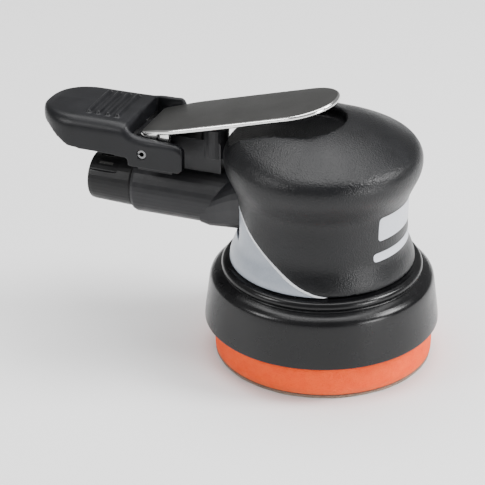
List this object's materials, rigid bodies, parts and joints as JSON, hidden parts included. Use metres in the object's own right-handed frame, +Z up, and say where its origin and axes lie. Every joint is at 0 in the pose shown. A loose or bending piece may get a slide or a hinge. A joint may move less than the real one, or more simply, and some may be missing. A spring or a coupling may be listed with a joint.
{
  "type": "random orbital palm sander",
  "caption": "Air-driven palm sander: rubber-covered head with a throttle lever and wrist rest over a side handle tube, a black skirt and a round orange pad on an orbiting spindle.",
  "frame": {"origin": "the point where the tool's spin axis meets the pad's working face", "axes": "+Z up along the spin axis, away from the work; the handle tube and air inlet point along -X, the nose of the head along +X"},
  "size_m": [0.1673, 0.0954, 0.1127],
  "materials": {
    "orange_foam": "dense orange foam, satin",
    "hook_fabric": "short nylon hooks",
    "backing_board": "moulded fibre board",
    "grip_rubber": "fine pebble grain with a pale grey side panel",
    "skirt_rubber": "smooth satin rubber",
    "rest_plastic": "satin moulded",
    "coated_casting": "black coated casting",
    "steel": "machined",
    "lever_steel": "brushed plate with bright edges",
    "black_oxide": "black oxide",
    "brass": "turned",
    "cage_bronze": "turned cage with steel balls",
    "phenolic": "laminate",
    "seal_rubber": "matt",
    "felt": "pressed felt"
  },
  "bodies": {
    "housing_body": {"housing": "coated_casting", "grip_cover": "grip_rubber", "shroud": "skirt_rubber", "lock_ring": "coated_casting", "front_bearing_plate": "coated_casting", "rear_bearing_plate": "coated_casting", "cylinder": "steel", "cylinder_dowel_pin": "steel", "rear_bearing_outer_race": "steel", "front_bearing_outer_race": "steel", "inlet_bushing": "steel", "inlet_screen": "brass", "muffler_felt": "felt", "valve_seat": "seal_rubber", "plunger_bushing": "black_oxide", "wrist_rest": "rest_plastic", "lever_pin": "black_oxide", "valve_spring": "steel"},
    "lever_body": {"throttle_lever": "lever_steel"},
    "plunger_body": {"valve_plunger": "black_oxide"},
    "tip_valve_body": {"tip_valve": "brass"},
    "regulator_body": {"speed_regulator": "black_oxide", "regulator_o_ring": "seal_rubber"},
    "sleeve_body": {"exhaust_sleeve": "rest_plastic"},
    "rotor_body": {"rotor": "steel", "rotor_key": "steel", "balancer_shaft": "steel", "shaft_end_screw": "black_oxide", "rotor_blade_1": "phenolic", "rotor_blade_2": "phenolic", "rotor_blade_3": "phenolic", "rotor_blade_4": "phenolic", "rotor_blade_5": "phenolic", "rear_bearing_inner_race": "steel", "front_bearing_inner_race": "steel", "spindle_bearing_outer_race": "steel", "spindle_retaining_ring": "black_oxide", "spindle_dust_shield": "steel"},
    "rear_cage_body": {"rear_bearing_ball_cage": "cage_bronze"},
    "front_cage_body": {"front_bearing_ball_cage": "cage_bronze"},
    "spindle_cage_body": {"spindle_bearing_ball_cage": "cage_bronze"},
    "pad_body": {"spindle": "steel", "spindle_screw": "black_oxide", "spindle_bearing_inner_race": "steel", "pad_stud": "steel", "pad_backing_plate": "backing_board", "pad_foam": "orange_foam", "pad_hook_face": "hook_fabric"}
  },
  "joints": [
    {"name": "lever_pivot", "type": "hinge", "parent": "housing_body", "child": "lever_body", "pos_m": [-0.0709, 0, 0.0833], "axis": [0, 1, 0], "range_deg": [0, 5.5], "stiffness_Nm_per_rad": 0.5, "springref_deg": -17.19},
    {"name": "plunger_slide", "type": "slide", "parent": "housing_body", "child": "plunger_body", "axis": [0, 0, -1], "range_m": [0, 0.0025]},
    {"name": "tip_valve_tilt", "type": "hinge", "parent": "housing_body", "child": "tip_valve_body", "pos_m": [-0.0586, 0, 0.0668], "axis": [0, 1, 0], "range_deg": [0, 11.5], "deforming": ["valve_spring"]},
    {"name": "speed_regulator_turn", "type": "hinge", "parent": "housing_body", "child": "regulator_body", "pos_m": [-0.0385, 0, 0.0624], "axis": [0, 1, 0], "range_deg": [0, 90]},
    {"name": "exhaust_sleeve_turn", "type": "hinge", "parent": "housing_body", "child": "sleeve_body", "pos_m": [-0.09, 0, 0.0624], "axis": [1, 0, 0], "continuous": true},
    {"name": "rotor_spin", "type": "hinge", "parent": "housing_body", "child": "rotor_body", "pos_m": [0, 0, 0.06], "axis": [0, 0, 1], "continuous": true},
    {"name": "rear_cage_spin", "type": "hinge", "parent": "housing_body", "child": "rear_cage_body", "pos_m": [0, 0, 0.08225], "axis": [0, 0, 1], "continuous": true},
    {"name": "front_cage_spin", "type": "hinge", "parent": "housing_body", "child": "front_cage_body", "pos_m": [0, 0, 0.04455], "axis": [0, 0, 1], "continuous": true},
    {"name": "pad_spin", "type": "hinge", "parent": "rotor_body", "child": "pad_body", "pos_m": [0, 0.0025, 0.01], "axis": [0, 0, 1], "continuous": true},
    {"name": "spindle_cage_spin", "type": "hinge", "parent": "rotor_body", "child": "spindle_cage_body", "pos_m": [0, 0.0025, 0.0288], "axis": [0, 0, 1], "continuous": true}
  ],
  "couplings": [
    {"joint": "plunger_slide", "follows": "lever_pivot", "m_per_rad": 0.0253},
    {"joint": "tip_valve_tilt", "follows": "lever_pivot", "ratio": 2},
    {"joint": "rear_cage_spin", "follows": "rotor_spin", "ratio": 0.3957},
    {"joint": "front_cage_spin", "follows": "rotor_spin", "ratio": 0.3916},
    {"joint": "spindle_cage_spin", "follows": "pad_spin", "ratio": 0.3916}
  ]
}
